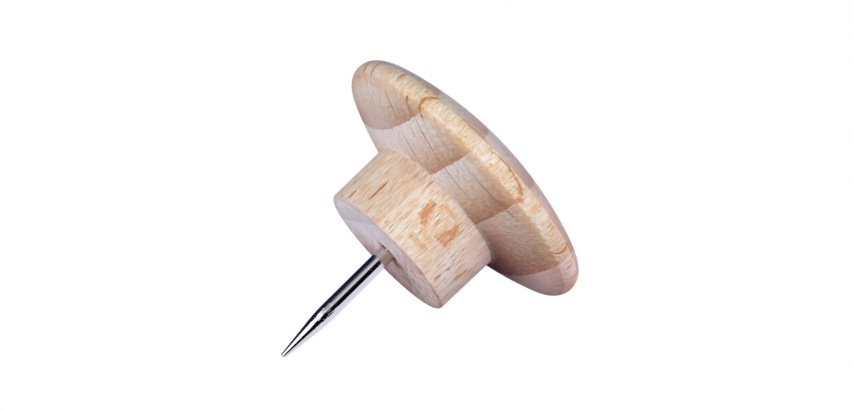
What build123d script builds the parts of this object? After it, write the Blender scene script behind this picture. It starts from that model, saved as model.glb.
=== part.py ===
from build123d import *
import os
from math import acos, atan2, cos, degrees, hypot, pi, radians, sin, sqrt, tan

# A push pin: a turned wooden head, which is a lens-shaped disc on a short hub, with a steel pin glued into
# the hub. Sizes are in millimetres. The origin is the centre of the hub's end face, which stops against the
# board. +Z runs along the turning axis to the top of the head, and the pin points along -Z.

# Turned head
DISC_DIAMETER = 20.96
UNDERSIDE_RADIUS = 23.5  # bowl of the disc's underside, centred on the axis above it
DOME_RADIUS = 25.0  # top face, centred on the axis below it
RIM_RADIUS = 1.08  # rounded rim, tangent to the underside and the dome
HUB_LENGTH = 4.85  # from the end face to the disc's underside, at the hub's side
HUB_END_DIAMETER = 10.48
HUB_ROOT_DIAMETER = 10.6
HUB_EDGE_RADIUS = 0.2
HUB_ROOT_FILLET = 0.25

# Steel pin
PIN_DIAMETER = 1.2
PIN_REACH = 9.9  # end face to tip
POINT_LENGTH = 3.65
TIP_RADIUS = 0.19
TANG_LENGTH = 4.6  # part of the pin inside the hub
RIDGE_COUNT = 10  # straight ridges rolled along the tang
RIDGE_HEIGHT = 0.06  # crests above the wire
GROOVE_DEPTH = 0.06  # roots below the wire
TANG_LEAD = 0.3  # bevel at the tang's inner end

# Blind hole in the hub and the glue that fills it round the tang
GLUE_FILM = 0.04  # least thickness, between a ridge's crest and the wood
GLUE_END_GAP = 0.2  # between the tang's end and the hole's full-width depth
GLUE_SETBACK = 0.4  # glue stops this far inside the mouth's bevel
MOUTH_BEVEL = 0.2
DRILL_POINT_ANGLE = 118.0

DISC_R = DISC_DIAMETER / 2
HUB_END_R = HUB_END_DIAMETER / 2
HUB_ROOT_R = HUB_ROOT_DIAMETER / 2
PIN_R = PIN_DIAMETER / 2
CREST_R = PIN_R + RIDGE_HEIGHT
GROOVE_R = PIN_R - GROOVE_DEPTH
HOLE_R = CREST_R + GLUE_FILM
HOLE_DEPTH = TANG_LENGTH + GLUE_END_GAP
DRILL_POINT = HOLE_R / tan(radians(DRILL_POINT_ANGLE / 2))


def turned(outline):
    """Turns a closed half outline, drawn with X as radius and Y as height, about the Z axis."""
    return revolve(Plane.XZ * make_face(outline), axis=Axis.Z)


def arc_about(centre, start, end):
    """Draws the short arc about a centre from one point to another."""
    first = degrees(atan2(start[1] - centre[1], start[0] - centre[0]))
    last = degrees(atan2(end[1] - centre[1], end[0] - centre[0]))
    return CenterArc(centre, hypot(start[0] - centre[0], start[1] - centre[1]), first, last - first)


def along(origin, through, distance):
    """Gives the point at a distance from origin on the ray that passes through another point."""
    span = hypot(through[0] - origin[0], through[1] - origin[1])
    step = distance / span
    return origin[0] + (through[0] - origin[0]) * step, origin[1] + (through[1] - origin[1]) * step


def head_blank():
    """Turns the head: hub, bowl-shaped underside, rounded rim and dome, each tangent to the next."""
    hub_root = (HUB_ROOT_R, HUB_LENGTH)
    underside_centre = (0, HUB_LENGTH + sqrt(UNDERSIDE_RADIUS**2 - HUB_ROOT_R**2))
    rim_r = DISC_R - RIM_RADIUS
    rim_centre = (rim_r, underside_centre[1] - sqrt((UNDERSIDE_RADIUS - RIM_RADIUS) ** 2 - rim_r**2))
    dome_centre = (0, rim_centre[1] - sqrt((DOME_RADIUS - RIM_RADIUS) ** 2 - rim_r**2))
    rim_low = along(underside_centre, rim_centre, UNDERSIDE_RADIUS)
    rim_high = along(dome_centre, rim_centre, DOME_RADIUS)
    top = (0, dome_centre[1] + DOME_RADIUS)
    blank = turned(
        [
            Line((0, 0), (HUB_END_R, 0)),
            Line((HUB_END_R, 0), hub_root),
            arc_about(underside_centre, hub_root, rim_low),
            arc_about(rim_centre, rim_low, rim_high),
            arc_about(dome_centre, rim_high, top),
            Line(top, (0, 0)),
        ]
    )
    root_ring = blank.edges().filter_by(GeomType.CIRCLE).group_by(Axis.Z)[1]
    blank = fillet(root_ring, HUB_ROOT_FILLET)
    end_ring = blank.edges().filter_by(GeomType.CIRCLE).group_by(Axis.Z)[0]
    return fillet(end_ring, HUB_EDGE_RADIUS)


def drilled_hole():
    """Makes the space that the drill leaves in the hub: bevelled mouth, straight wall and pointed end."""
    corners = [
        (0, 0),
        (HOLE_R + MOUTH_BEVEL, 0),
        (HOLE_R, MOUTH_BEVEL),
        (HOLE_R, HOLE_DEPTH),
        (0, HOLE_DEPTH + DRILL_POINT),
    ]
    return turned(Polyline(*corners, close=True))


def wooden_head():
    """Makes the turned head with the blind hole for the pin."""
    return head_blank() - drilled_hole()


def shank():
    """Turns the wire outside the head: a straight shank and a cone that runs tangent into a round tip."""
    cone_start = (PIN_R, POINT_LENGTH - PIN_REACH)
    tip_centre = (0, TIP_RADIUS - PIN_REACH)
    rise = cone_start[1] - tip_centre[1]
    half_angle = acos(TIP_RADIUS / hypot(PIN_R, rise)) - atan2(rise, PIN_R)
    tip_edge = (TIP_RADIUS * cos(half_angle), tip_centre[1] - TIP_RADIUS * sin(half_angle))
    tip = (0, -PIN_REACH)
    return turned(
        [
            arc_about(tip_centre, tip, tip_edge),
            Line(tip_edge, cone_start),
            Line(cone_start, (PIN_R, 0)),
            Line((PIN_R, 0), (0, 0)),
            Line((0, 0), tip),
        ]
    )


def tang():
    """Makes the ridged end that the glue grips: a star section cut back to a bevel at its inner end."""
    half_pitch = pi / RIDGE_COUNT
    section = []
    for step in range(2 * RIDGE_COUNT):
        radius = GROOVE_R if step % 2 else CREST_R
        section.append((radius * cos(step * half_pitch), radius * sin(step * half_pitch)))
    ridges = extrude(Polygon(*section, align=None), TANG_LENGTH)
    outer_r = CREST_R + TANG_LEAD
    envelope = turned(
        Polyline(
            (0, 0),
            (outer_r, 0),
            (outer_r, TANG_LENGTH - 2 * TANG_LEAD),
            (CREST_R - TANG_LEAD, TANG_LENGTH),
            (0, TANG_LENGTH),
            close=True,
        )
    )
    return ridges & envelope


def steel_pin():
    """Joins the shank and the tang into one piece of wire."""
    return shank() + tang()


def glue():
    """Fills the hole round the tang, from inside the mouth to the drill's point."""
    start = MOUTH_BEVEL + GLUE_SETBACK
    filling = turned(
        Polyline(
            (0, start),
            (HOLE_R, start),
            (HOLE_R, HOLE_DEPTH),
            (0, HOLE_DEPTH + DRILL_POINT),
            close=True,
        )
    )
    return filling - tang()


NODES = {"wooden_head": wooden_head, "steel_pin": steel_pin, "glue": glue}

os.makedirs("parts", exist_ok=True)
for node, make in NODES.items():
    export_step(make(), f"parts/{node}.step")
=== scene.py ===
"""Push pin with a turned beech head and a bright steel pin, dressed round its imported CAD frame.

The head and the pin are rebuilt as fine turned surfaces with the small marks that the real ones carry, and
the glue in the hub keeps its CAD solid. Sizes are in millimetres in the dataclasses and in metres in
Blender.
"""

import logging
import math
from dataclasses import dataclass, field
from enum import Enum

import bpy
import numpy as np
from mathutils import Matrix, Vector


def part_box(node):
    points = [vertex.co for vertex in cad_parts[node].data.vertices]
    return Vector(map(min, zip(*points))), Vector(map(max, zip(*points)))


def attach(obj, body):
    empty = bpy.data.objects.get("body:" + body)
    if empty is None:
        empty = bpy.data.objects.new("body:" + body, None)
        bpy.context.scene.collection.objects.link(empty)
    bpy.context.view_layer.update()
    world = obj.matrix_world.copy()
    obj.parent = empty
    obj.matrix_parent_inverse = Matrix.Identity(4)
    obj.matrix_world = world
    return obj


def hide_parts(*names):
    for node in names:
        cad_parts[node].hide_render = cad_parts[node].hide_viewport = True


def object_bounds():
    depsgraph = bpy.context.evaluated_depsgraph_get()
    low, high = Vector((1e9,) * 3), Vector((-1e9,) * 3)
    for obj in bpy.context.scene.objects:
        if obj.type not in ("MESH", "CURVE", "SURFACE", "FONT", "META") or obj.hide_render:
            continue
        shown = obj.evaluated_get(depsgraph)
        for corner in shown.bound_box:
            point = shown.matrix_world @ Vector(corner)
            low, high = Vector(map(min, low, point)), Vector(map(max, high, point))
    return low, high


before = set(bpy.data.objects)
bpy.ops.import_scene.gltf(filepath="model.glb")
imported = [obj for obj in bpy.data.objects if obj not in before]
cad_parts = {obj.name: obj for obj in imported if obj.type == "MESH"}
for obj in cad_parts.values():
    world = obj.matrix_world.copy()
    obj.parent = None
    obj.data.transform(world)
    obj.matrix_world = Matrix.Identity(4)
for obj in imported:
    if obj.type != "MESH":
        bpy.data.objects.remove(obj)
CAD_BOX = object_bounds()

MM = 0.001
BODY = "root"
log = logging.getLogger("push_pin")

Socket = bpy.types.NodeSocket
Outputs = bpy.types.NodeOutputs
Value = Socket | float | tuple[float, ...]
Pair = tuple[float, float]
Triple = tuple[float, float, float]
Colour = tuple[float, ...]
Range = tuple[float, ...]


class Node(Enum):
    """Names of the CAD nodes."""

    HEAD = "wooden_head"
    PIN = "steel_pin"
    GLUE = "glue"


class Slot(Enum):
    """Names of the record's material slots."""

    BEECH = "turned_beech"
    STEEL = "bright_steel"
    GLUE = "set_glue"


class Mark(Enum):
    """Names of the attributes that say where the wood's look changes and where shade and light are painted.
    """

    END_GRAIN = "end_grain"
    UPRIGHT = "upright"
    HUB = "hub"
    END_FACE = "end_face"
    FACE_RIM_SHADE = "face_rim_shade"
    DOME = "dome"
    CREST = "crest"
    CORNER = "corner"
    SHOULDER = "shoulder"
    SEAM = "seam"


class Blend(Enum):
    """How a layer joins the colour under it: it covers that colour, or it is a tone that multiplies it."""

    COVER = "MIX"
    TONE = "MULTIPLY"


Layer = tuple[Value, Value, Blend]


def srgb(red: int, green: int, blue: int) -> Colour:
    """Turns a colour written in display values of 0 to 255 into Blender's linear colour.

    Args:
        red: Display value of red.
        green: Display value of green.
        blue: Display value of blue.

    Returns:
        Linear red, green and blue, and an alpha of 1.
    """
    channels = np.array([red, green, blue]) / 255
    linear = np.where(channels <= 0.04045, channels / 12.92, ((channels + 0.055) / 1.055) ** 2.4)
    return (*linear.tolist(), 1.0)


@dataclass(frozen=True)
class NodeBench:
    """Adds nodes to one node tree, sets their constant inputs and links the rest."""

    tree: bpy.types.NodeTree

    def put(self, socket: Socket, value: Value) -> None:
        """Feeds an input, by a link from another socket or by a constant set on the input itself.

        Args:
            socket: Input to feed.
            value: Output socket or constant.
        """
        if isinstance(value, bpy.types.NodeSocket):
            self.tree.links.new(value, socket)
        else:
            socket.default_value = value

    def add(
        self, kind: str, inputs: dict[str | int, Value] | None = None, **settings: object
    ) -> bpy.types.Node:
        """Adds a node.

        Args:
            kind: Blender's name of the node type.
            inputs: Input names or numbers, with what feeds them.
            **settings: Node properties to set.

        Returns:
            The new node.
        """
        node = self.tree.nodes.new(kind)
        for name, setting in settings.items():
            setattr(node, name, setting)
        for key, value in (inputs or {}).items():
            self.put(node.inputs[key], value)
        return node

    def math(self, operation: str, first: Value, second: Value = 0.0, third: Value = 0.0) -> Socket:
        """Works out one number from up to three."""
        inputs = {0: first, 1: second, 2: third}
        return self.add("ShaderNodeMath", inputs, operation=operation).outputs[0]

    def times(self, first: Value, second: Value) -> Socket:
        """Multiplies two numbers."""
        return self.math("MULTIPLY", first, second)

    def swing(self, noise: Value, amount: float, base: Value) -> Socket:
        """Adds a noise value to a base: its distance from one half, times an amount."""
        return self.math("MULTIPLY_ADD", self.math("SUBTRACT", noise, 0.5), amount, base)

    def vector(self, operation: str, first: Value, second: Value = (0.0, 0.0, 0.0)) -> Socket:
        """Works out a vector from two, or a number for DOT_PRODUCT and LENGTH."""
        node = self.add("ShaderNodeVectorMath", {0: first, 1: second}, operation=operation)
        return node.outputs["Value" if operation in ("DOT_PRODUCT", "LENGTH") else "Vector"]

    def parts(self, vector: Value) -> Outputs:
        """Takes a vector apart into X, Y and Z."""
        return self.add("ShaderNodeSeparateXYZ", {0: vector}).outputs

    def joined(self, **parts: Value) -> Socket:
        """Joins X, Y and Z into a vector, with 0 for those left out."""
        return self.add("ShaderNodeCombineXYZ", parts).outputs[0]

    def noise(self, vector: Value, detail: float = 2.0) -> Socket:
        """Adds noise of one cell in each unit of the coordinates, about 0 to 1."""
        return self.add("ShaderNodeTexNoise", {"Vector": vector, "Scale": 1.0, "Detail": detail}).outputs[0]

    def texture(self, vector: Value, cells: Triple, detail: float = 2.0) -> Socket:
        """Adds noise of so many cells in each unit of the three coordinates."""
        return self.noise(self.vector("MULTIPLY", vector, cells), detail)

    def spread(
        self, value: Value, low: float, high: float, to_low: float = 0.0, to_high: float = 1.0
    ) -> Socket:
        """Maps a value from low and high to to_low and to_high, with smooth ends, and level past them."""
        inputs = {"Value": value, "From Min": low, "From Max": high, "To Min": to_low, "To Max": to_high}
        return self.add("ShaderNodeMapRange", inputs, interpolation_type="SMOOTHSTEP").outputs[0]

    def mix(self, share: Value, first: Value, second: Value, blend: Blend = Blend.COVER) -> Socket:
        """Mixes two colours by the share of the second."""
        inputs = {0: share, 6: first, 7: second}
        return self.add("ShaderNodeMix", inputs, data_type="RGBA", blend_type=blend.value).outputs[2]

    def layered(self, colour: Value, layers: list[Layer]) -> Value:
        """Lays colours over one another.

        Args:
            colour: Lowest colour.
            layers: Mask, colour and blend of each layer, in order.

        Returns:
            The colour on top.
        """
        for mask, laid, blend in layers:
            colour = self.mix(mask, colour, laid, blend)
        return colour

    def ramp(self, value: Value, stops: list[tuple[float, Colour]]) -> Socket:
        """Adds a Color Ramp node.

        Args:
            value: Position on the ramp.
            stops: Positions with their colours, in order.

        Returns:
            The colour at the position.
        """
        node = self.add("ShaderNodeValToRGB", {0: value})
        elements = node.color_ramp.elements
        while len(elements) < len(stops):
            elements.new(1.0)
        for element, (position, colour) in zip(elements, stops):
            element.position = position
            element.color = colour
        return node.outputs[0]

    def mark(self, name: Mark) -> Socket:
        """Reads a mark that is stored on the mesh's points."""
        return self.add("ShaderNodeAttribute", attribute_name=name.value).outputs["Fac"]

    def millimetres(self) -> Socket:
        """Reads Object coordinates in millimetres."""
        place = self.add("ShaderNodeTexCoord").outputs["Object"]
        return self.vector("MULTIPLY", place, (1 / MM,) * 3)

    def bump(self, height: Value, depth: float, strength: float = 1.0) -> Socket:
        """Bends the normal by a relief of so many millimetres."""
        inputs = {"Height": height, "Strength": strength, "Distance": depth * MM}
        return self.add("ShaderNodeBump", inputs).outputs[0]

    def principled(self, inputs: dict[str | int, Value]) -> None:
        """Ends a material in a Principled shader with the given inputs."""
        self.surface(self.add("ShaderNodeBsdfPrincipled", inputs).outputs[0])

    def surface(self, shader: Socket, kind: str = "ShaderNodeOutputMaterial") -> None:
        """Ends a material or a world in the given shader."""
        self.add(kind, {"Surface": shader})

    def publish(self, results: dict[str | int, Value]) -> None:
        """Ends a group in the given numbers, each an output under its name."""
        for name in results:
            self.tree.interface.new_socket(name, in_out="OUTPUT", socket_type="NodeSocketFloat")
        self.add("NodeGroupOutput", results)


def new_group(name: str, numbers: tuple[str, ...] = ()) -> tuple[NodeBench, Outputs]:
    """Starts a shader node group that takes in coordinates as Vector, and numbers.

    Args:
        name: Name of the group.
        numbers: Names of the inputs that are numbers.

    Returns:
        A bench on the group, and what comes in.
    """
    tree = bpy.data.node_groups.new(name, "ShaderNodeTree")
    tree.interface.new_socket("Vector", in_out="INPUT", socket_type="NodeSocketVector")
    for number in numbers:
        tree.interface.new_socket(number, in_out="INPUT", socket_type="NodeSocketFloat")
    bench = NodeBench(tree)
    return bench, bench.add("NodeGroupInput").outputs


def new_material(name: str) -> tuple[bpy.types.Material, NodeBench]:
    """Starts a material without nodes.

    Args:
        name: Name of the material.

    Returns:
        The material, and a bench on its nodes.
    """
    material = bpy.data.materials.new(name)
    material.use_nodes = True
    material.node_tree.nodes.clear()
    return material, NodeBench(material.node_tree)


class SurfaceMottle:
    """Shared effect: uneven tone at two sizes, as handling and uneven polish leave it."""

    _tree: bpy.types.NodeTree | None = None

    @classmethod
    def place(cls, bench: NodeBench, vector: Value, coarse: float, fine: float) -> Socket:
        """Places the effect in a material.

        Args:
            bench: Bench of the material.
            vector: Coordinates in millimetres.
            coarse: Patches per millimetre of the broad part.
            fine: Patches per millimetre of the fine part.

        Returns:
            A value about 0 to 1.
        """
        if cls._tree is None:
            cls._tree = cls._build()
        inputs = {"Vector": vector, "Coarse": coarse, "Fine": fine}
        return bench.add("ShaderNodeGroup", inputs, node_tree=cls._tree).outputs["Tone"]

    @staticmethod
    def _build() -> bpy.types.NodeTree:
        """Builds the group: two noises of the given sizes, two parts broad to one part fine.

        Returns:
            The node group.
        """
        bench, source = new_group("surface_mottle", ("Coarse", "Fine"))
        broad, small = (
            bench.add(
                "ShaderNodeTexNoise", {"Vector": source["Vector"], "Scale": source[size], "Detail": detail}
            ).outputs[0]
            for size, detail in (("Coarse", 3.0), ("Fine", 2.0))
        )
        bench.publish({"Tone": bench.math("DIVIDE", bench.math("MULTIPLY_ADD", broad, 2.0, small), 3.0)})
        return bench.tree


class RayShape(Enum):
    """How a ray ends, with its power: in a point, as a spindle does, or squarely, as a broad fleck does."""

    SPINDLE = 2.0
    FLECK = 4.0


FLECK_INNER: Range = (-1.0, 1.0)
FLECK_OUTER: Range = (6.0, 4.0)


@dataclass(frozen=True)
class RaySheet:
    """One large ray: a thin sheet that runs outward from the pith, given in the wood's own directions.

    The centre and the half sizes are each outward, across and along the fibres, in millimetres. The
    strength is the mask at its fullest, and the softness is the share of the half sizes over which it
    fades. The lean is how far the sheet moves across for each millimetre along. A spindle thins to both
    faces alike. A fleck fades in from its inner face and out past its outer one, both in half sizes across.
    """

    centre: Triple
    half: Triple
    strength: float
    lean: float = 0.0
    shape: RayShape = RayShape.SPINDLE
    softness: float = 0.4

    def mask(self, bench: NodeBench, wood: Socket) -> Socket:
        """Adds the sheet's mask, with a soft edge.

        The reach is the root of the summed powers of the distances in half sizes, so that a higher power
        gives squarer ends. It is 1 at the edge.

        Args:
            bench: Bench of the tree.
            wood: Coordinates in the wood's own directions.

        Returns:
            The mask, from 0 to the ray's strength.
        """
        away = bench.vector("SUBTRACT", wood, self.centre)
        if self.lean:
            aslant = bench.vector("DOT_PRODUCT", away, (0.0, 0.0, -self.lean))
            away = bench.vector("ADD", away, bench.joined(Y=aslant))
        away = bench.vector("DIVIDE", away, self.half)
        fade = (1.0, 1.0 - self.softness, 0.0, self.strength)
        if self.shape is RayShape.SPINDLE:
            return bench.spread(bench.vector("LENGTH", away), *fade)
        parts = bench.parts(away)
        power = self.shape.value
        powers = [bench.math("POWER", bench.math("ABSOLUTE", parts[way]), power) for way in ("X", "Z")]
        reach = bench.math("POWER", bench.math("ADD", *powers), 1 / power)
        across = bench.times(bench.spread(parts["Y"], *FLECK_INNER), bench.spread(parts["Y"], *FLECK_OUTER))
        return bench.times(bench.spread(reach, *fade), across)


@dataclass(frozen=True)
class BeechFinish:
    """Bare sanded beech as one solid figure that runs through the whole head.

    Fibres run along Z. Growth rings are circles about the pith, which lies far to the left: outward from it
    a ring starts pale, browns and ends in a sharp edge. Rays are thin sheets that run outward across the
    rings, so they show as fine lines on end grain, short spindles where the surface crosses them and broad
    flecks where it lies along them.

    Cells are how many noise cells fit in a millimetre outward, across and along the fibres. A range is
    where a mask starts and where it is full, with what it gives at both where that isn't 0 and 1. Tones
    multiply what lies under them.
    """

    pith: Pair = (-65.83, -16.84)
    ring_edge: float = 65.18
    across_radius: float = 67.0
    ring_number: float = 2.0
    rings_per_mm: float = 0.2466
    ring_widening: float = -0.00417
    wander: float = 0.3
    wander_cells: Triple = (0.15, 0.15, 0.03)
    raggedness: float = 0.24
    ragged_cells: Triple = (2.0, 2.0, 0.3)
    # Browner wood outward, with painted shade towards the right side of the end grain and end face.
    brown_and_shade_start: Range = (-0.5, 5.0)
    brown_and_shade_end: Range = (9.8, 8.6, 0.5, 1.0)
    brown_and_shade_tone: Colour = (0.875, 0.735, 0.625, 1.0)

    sway: float = 0.3
    sway_cells: Triple = (0.5, 0.5, 0.7)
    ray_cells: Triple = (0.1, 2.4, 0.8)
    ray_seed: Triple = (0.0, 0.37, 0.0)
    ray_range: Range = (0.24, 0.1)
    ray_chance: Range = (0.5, 1.0, 0.0, 0.5)
    ray_fray: Triple = (0.6, 0.05, 0.55)
    fray_scale: float = 3.0
    broken_cells: Triple = (2.5, 2.5, 2.0)
    broken_range: Range = (0.3, 0.6, 0.7, 1.0)
    fleck_cells: Triple = (1.6, 1.6, 6.0)
    fleck_lines: Range = (0.3, 0.58, 0.74, 1.0)
    line_cells: Triple = (0.3, 4.5, 0.5)
    patch_cells: Triple = (1.5, 1.5, 0.6)
    patch_range: Range = (0.38, 0.66)
    stroke_cells: Triple = (4.2, 4.2, 0.85)
    stroke_range: Range = (0.5, 0.7)
    cream_cells: Triple = (8.5, 8.5, 1.1)
    cream_range: Range = (0.52, 0.68)
    thread_cells: Triple = (9.5, 9.5, 0.9)
    thread_range: Range = (0.4, 0.28)
    cluster_cells: Triple = (1.1, 1.1, 0.45)
    cluster_range: Range = (0.4, 0.62, 0.2, 1.0)
    fibre_cells: Triple = (12.0, 12.0, 1.4)
    grain_cells: Triple = (3.2, 2.6, 3.0)

    side_early: Colour = srgb(240, 222, 199)
    side_late: Colour = srgb(229, 201, 172)
    tan: Colour = srgb(233, 195, 154)
    tan_share: float = 0.75
    ochre: Colour = srgb(234, 177, 116)
    ochre_share: float = 0.74
    tan_fibre: Colour = srgb(221, 164, 110)
    tan_range: Range = (0.48, 0.24)
    tan_fibre_share: float = 0.5
    # Pale fibre colour, also laid as painted highlights on lit fibres.
    cream: Colour = srgb(253, 248, 237)
    cream_share: float = 0.42
    cream_fibre_range: Range = (0.52, 0.75)
    cream_fibre_share: float = 0.55
    thread: Colour = srgb(180, 106, 48)
    thread_share: float = 0.85
    faint_ray: Colour = srgb(240, 196, 144)
    broad_ray: Colour = srgb(213, 141, 88)
    broad_range: Range = (0.36, 0.8)
    fleck_range: Range = (0.2, 0.55)
    fleck_share: float = 0.9
    fleck_glaze: float = 0.3
    side_ray: Colour = srgb(200, 130, 66)
    side_ray_share: float = 0.92
    hub_range: Range = (-2.5, -1.5)
    # Painted light: warm on the hub's left, cool and pale on its right, and lifted on the rim.
    painted_hub_light_turn: Range = (-1.2, 2.5)
    painted_warm_hub_light: Colour = (0.975, 0.91, 0.94, 1.0)
    painted_cool_hub_light: Colour = (1.005, 1.04, 1.11, 1.0)
    painted_rim_light: Colour = (1.06, 1.05, 1.06, 1.0)
    # Painted light: the far right of the head is lightened and warmed.
    painted_right_light_side: Range = (9.0, 11.5, 0.0, 0.5)
    painted_right_light_end: Range = (8.0, 10.5)
    painted_right_light: Colour = (1.26, 1.07, 1.06, 1.0)

    end_early: Colour = srgb(233, 218, 207)
    end_mid: Colour = srgb(222, 198, 178)
    end_late: Colour = srgb(193, 147, 115)
    end_grain_tone: Range = (0.3, 0.7, 0.9, 1.08)
    end_line_tone: Range = (0.3, 0.7, 0.93, 1.05)
    end_ray: Colour = srgb(164, 106, 72)
    end_ray_share: float = 0.85
    # Painted shade in the underside's corner beside the hub's right side.
    corner_shade_range: Range = (3.5, 6.5)
    painted_corner_shade: Colour = (0.66, 0.4, 0.35, 1.0)
    # Painted light: a pale lilac glow on the underside beside the hub's left side.
    painted_left_light_range: Range = (-2.0, -5.0, 0.0, 0.75)
    shoulder_range: Range = (0.0, 1.0, 0.4, 0.85)
    shoulder_tone: Colour = srgb(224, 178, 132)
    scuff_along: Triple = (1.1, -1.9, 0.0)
    scuff_beside: Triple = (4.8, 2.7, 0.0)
    # Sanding scuffs, partly painted highlights and shade standing for their relief.
    scuff_and_highlight: Colour = srgb(240, 228, 222)
    scuff_and_highlight_range: Range = (0.52, 0.7, 0.0, 0.3)
    scuff_and_shade: Colour = srgb(188, 146, 116)
    scuff_and_shade_range: Range = (0.46, 0.28, 0.0, 0.25)
    dome_share: float = 0.42
    dome_tone: Colour = srgb(228, 200, 199)

    face_pale: Colour = srgb(245, 239, 242)
    face_dull: Colour = srgb(228, 213, 213)
    face_dull_range: Range = (0.56, 0.4, 0.0, 0.5)
    face_painted_shade: Colour = (1.0, 0.78, 0.65, 1.0)
    face_grain_tone: Range = (0.3, 0.7, 0.94, 1.05)
    wear_along: Triple = (0.5, 0.8, 0.0)
    wear_beside: Triple = (2.4, -1.5, 0.0)
    wear_share: Pair = (0.86, 0.1)
    wear_light_range: Range = (0.53, 0.64)
    wear_dark_range: Range = (0.47, 0.36, 0.0, 0.75)
    face_hollow: Colour = srgb(194, 154, 142)
    # Painted shade at the rim of the end face.
    face_rim_shade: Colour = (0.87, 0.68, 0.62, 1.0)
    # Painted shadow of the pin on the end face, with some dirt.
    soil_and_shadow_range: Range = (0.5, 4.8)
    face_soil_and_shadow: Colour = (0.58, 0.43, 0.48, 1.0)

    border_rag: float = 1.1
    border_range: Range = (0.35, 0.65)
    seam_tone: Colour = srgb(232, 224, 232)
    seam_range: Range = (0.36, 0.56, 0.1, 0.7)
    seam_fade: Range = (0.0, 1.0, 1.0, 0.2)
    seam_dirt: Colour = srgb(150, 104, 74)
    dirt_range: Range = (0.42, 0.28, 0.0, 0.6)
    scorch_start: Range = (-4.6, -0.5, 0.0, 0.6)
    scorch_end: Range = (1.0, 0.0)
    mottle_sizes: Pair = (0.5, 4.0)
    rough_range: Range = (0.2, 0.8, 0.55, 0.72)
    relief_depth: float = 0.04
    fibre_relief: float = 0.5
    scuff_relief: float = 2.6
    grain_relief: float = 2.4
    face_relief: Range = (0.0, 1.0, 1.0, 0.35)
    ray_relief: float = -0.2
    sheen: float = 0.22
    sheen_roughness: float = 0.4
    sheen_tint: Colour = srgb(236, 234, 255)
    rays: tuple[RaySheet, ...] = (
        RaySheet((2.5, 6.6, 7.33), (2.5, 0.07, 0.75), 1.0, -0.33),
        RaySheet((4.28, 6.86, 6.98), (0.42, 0.24, 0.6), 0.85, softness=0.7),
        RaySheet((3.2, 8.0, 6.1), (3.6, 0.1, 0.7), 1.0, softness=0.8),
        RaySheet((-4.0, 8.72, 7.15), (2.3, 0.13, 1.15), 1.0, -0.55),
        RaySheet((8.8, 8.9, 7.4), (1.4, 0.09, 0.9), 1.0),
        RaySheet((-0.6, 10.0, 5.9), (6.6, 0.1, 1.5), 1.0, softness=0.8),
        RaySheet((-4.6, 10.04, 6.45), (1.0, 0.1, 0.6), 1.0, -0.55),
        RaySheet((-6.1, 11.08, 7.5), (1.2, 0.13, 0.65), 1.0),
        RaySheet((2.67, 11.612, 3.07), (1.7, 0.06, 1.04), 1.0, 0.022, RayShape.FLECK, 0.25),
        RaySheet((2.68, 11.5, 4.08), (1.0, 0.2, 0.27), 0.84, 0.0, RayShape.FLECK, 0.5),
        RaySheet((2.6, 11.5, 1.85), (1.2, 0.2, 0.34), 0.65, 0.0, RayShape.FLECK, 0.6),
        RaySheet((2.6, 11.5, 1.15), (1.4, 0.2, 0.4), 0.66, 0.0, RayShape.FLECK, 0.6),
        RaySheet((-5.2, 12.35, 6.0), (2.1, 0.11, 0.9), 0.95, softness=0.8),
        RaySheet((-1.9, 12.5, 5.1), (2.6, 0.1, 0.6), 0.95, softness=0.8),
        RaySheet((-1.4, 13.52, 1.8), (2.0, 0.12, 1.15), 1.0),
        RaySheet((6.5, 13.24, 2.2), (2.0, 0.1, 0.75), 0.8),
        RaySheet((-7.4, 14.4, 7.2), (1.4, 0.16, 0.75), 1.0),
        RaySheet((-2.2, 14.95, 0.6), (1.5, 0.12, 0.55), 0.9),
        RaySheet((-7.6, 16.0, 7.1), (1.2, 0.16, 0.6), 1.0),
    )

    def wood_directions(self, bench: NodeBench, place: Socket) -> tuple[Socket, Socket]:
        """Adds the wood's own coordinates about the pith.

        Args:
            bench: Bench of the tree.
            place: Coordinates in millimetres.

        Returns:
            Distance outward from a ring's edge, and the vector of that, the way across and the way along
            fibres.
        """
        parts = bench.parts(bench.vector("SUBTRACT", place, (*self.pith, 0.0)))
        squares = bench.math("MULTIPLY_ADD", parts["X"], parts["X"], bench.math("POWER", parts["Y"], 2.0))
        outward = bench.math("SUBTRACT", bench.math("SQRT", squares), self.ring_edge)
        across = bench.times(bench.math("ARCTAN2", parts["Y"], parts["X"]), self.across_radius)
        return outward, bench.joined(X=outward, Y=across, Z=parts["Z"])

    def ring_position(self, bench: NodeBench, outward: Socket, wood: Socket) -> Socket:
        """Adds the position within a growth ring: the fraction of a count that rises more slowly outward.

        Args:
            bench: Bench of the tree.
            outward: Distance outward.
            wood: Coordinates in the wood's own directions.

        Returns:
            The position, from 0 at the pale start to 1 at the sharp brown end.
        """
        depth = bench.swing(bench.texture(wood, self.wander_cells, 1.0), self.wander, outward)
        depth = bench.swing(bench.texture(wood, self.ragged_cells, 3.0), self.raggedness, depth)
        slope = bench.math("MULTIPLY_ADD", depth, self.ring_widening, self.rings_per_mm)
        count = bench.math("MULTIPLY_ADD", depth, slope, self.ring_number)
        return bench.math("FRACT", bench.math("MAXIMUM", count, 0.0))

    def ray_masks(self, bench: NodeBench, wood: Socket, swayed: Socket) -> tuple[Socket, Socket]:
        """Adds the rays: small random spindles, and the large sheets with frayed edges and broken tone.

        Args:
            bench: Bench of the tree.
            wood: Coordinates in the wood's own directions.
            swayed: The same, wandering across.

        Returns:
            The masks of the spindles and of the broad flecks, from 0 to 1.
        """
        cells = bench.vector("ADD", bench.vector("MULTIPLY", swayed, self.ray_cells), self.ray_seed)
        small = bench.add("ShaderNodeTexVoronoi", {"Vector": cells, "Scale": 1.0}).outputs
        chance = bench.add("ShaderNodeSeparateColor", {0: small["Color"]}).outputs[0]
        body = bench.spread(small["Distance"], *self.ray_range)
        spindles = bench.times(body, bench.spread(chance, *self.ray_chance))

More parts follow.
